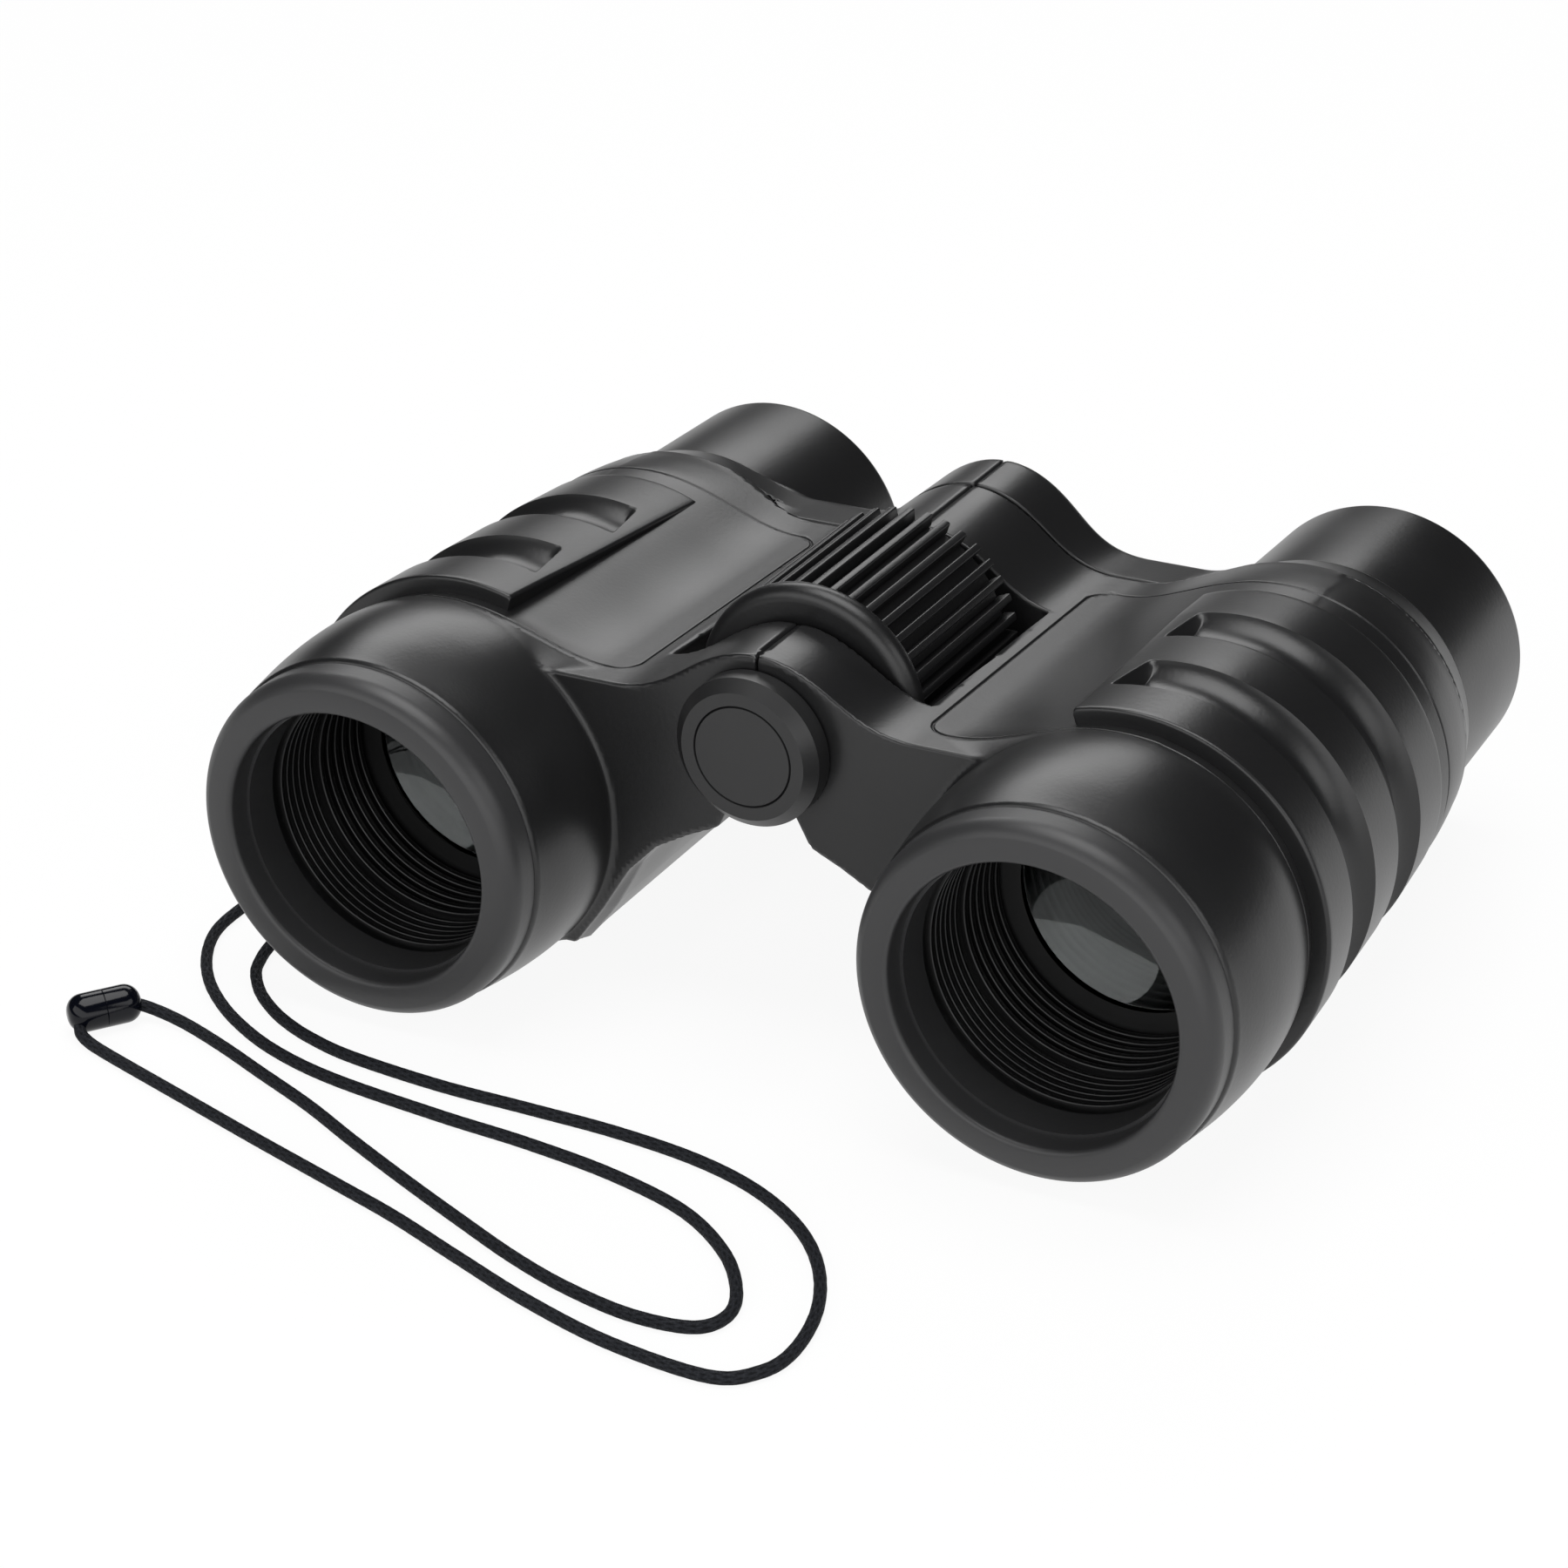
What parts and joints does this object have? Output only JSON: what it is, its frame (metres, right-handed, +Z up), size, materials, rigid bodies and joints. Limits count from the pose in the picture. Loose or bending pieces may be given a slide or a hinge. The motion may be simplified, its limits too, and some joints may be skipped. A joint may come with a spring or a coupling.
{
  "type": "toy binoculars",
  "caption": "Small folding toy binoculars: ribbed hoods, scalloped finger grips, centre focus wheel that slides the eyepieces, and a thin neck cord with a capsule clasp.",
  "frame": {"origin": "on the rest plane, below the middle of the box round the binoculars without their cord", "axes": "+X across the barrels to the right seen from the front, +Y from the front bezels to the eyepieces, +Z up"},
  "size_m": [0.1073, 0.1134, 0.0388],
  "materials": {
    "body_shell": "satin moulded charcoal plastic",
    "bezel": "satin moulded grey plastic",
    "hood_black": "black moulded plastic",
    "lens_glass": "clear moulded lens",
    "finger_grip": "soft-touch grip",
    "eyepiece": "satin moulded charcoal plastic",
    "hinge_cap": "satin moulded charcoal plastic",
    "focus_wheel": "satin moulded dark plastic",
    "steel": "turned steel",
    "brass": "turned brass",
    "neck_cord": "fine braided cord",
    "clasp": "glossy moulded plastic"
  },
  "bodies": {
    "left_half": {"left_body_shell": "body_shell", "left_objective_bezel": "bezel", "left_baffle_tube": "hood_black", "left_objective_lens": "lens_glass", "left_lens_retainer": "hood_black", "left_finger_grip": "finger_grip", "hinge_pin": "steel", "hinge_cap": "hinge_cap", "hinge_bush": "steel", "strap_lug": "body_shell", "strap_cord_a": "neck_cord", "strap_cord_b": "neck_cord", "clasp_socket": "clasp", "clasp_plug": "clasp"},
    "right_half": {"right_body_shell": "body_shell", "right_objective_bezel": "bezel", "right_baffle_tube": "hood_black", "right_objective_lens": "lens_glass", "right_lens_retainer": "hood_black", "right_finger_grip": "finger_grip"},
    "focus_wheel": {"focus_wheel": "focus_wheel", "wheel_thread_insert": "brass"},
    "left_ocular": {"left_ocular_arm": "body_shell", "left_eyepiece_tube": "eyepiece", "left_eye_lens": "lens_glass", "left_eye_lens_ring": "hood_black", "focus_spindle": "steel", "spindle_cap": "hinge_cap"},
    "right_ocular": {"right_ocular_arm": "body_shell", "right_eyepiece_tube": "eyepiece", "right_eye_lens": "lens_glass", "right_eye_lens_ring": "hood_black"}
  },
  "joints": [
    {"name": "bridge_fold", "type": "hinge", "parent": "left_half", "child": "right_half", "pos_m": [0, 0, 0.0279], "axis": [0, 1, 0], "range_deg": [0, 50]},
    {"name": "focus_turn", "type": "hinge", "parent": "left_half", "child": "focus_wheel", "pos_m": [0, 0, 0.0279], "axis": [0, 1, 0], "range_deg": [0, 270]},
    {"name": "left_focus_slide", "type": "slide", "parent": "left_half", "child": "left_ocular", "axis": [0, 1, 0], "range_m": [0, 0.004]},
    {"name": "right_focus_slide", "type": "slide", "parent": "right_half", "child": "right_ocular", "axis": [0, 1, 0], "range_m": [0, 0.004]}
  ],
  "couplings": [
    {"joint": "left_focus_slide", "follows": "focus_turn", "m_per_rad": 0.000848},
    {"joint": "right_focus_slide", "follows": "focus_turn", "m_per_rad": 0.000848}
  ]
}
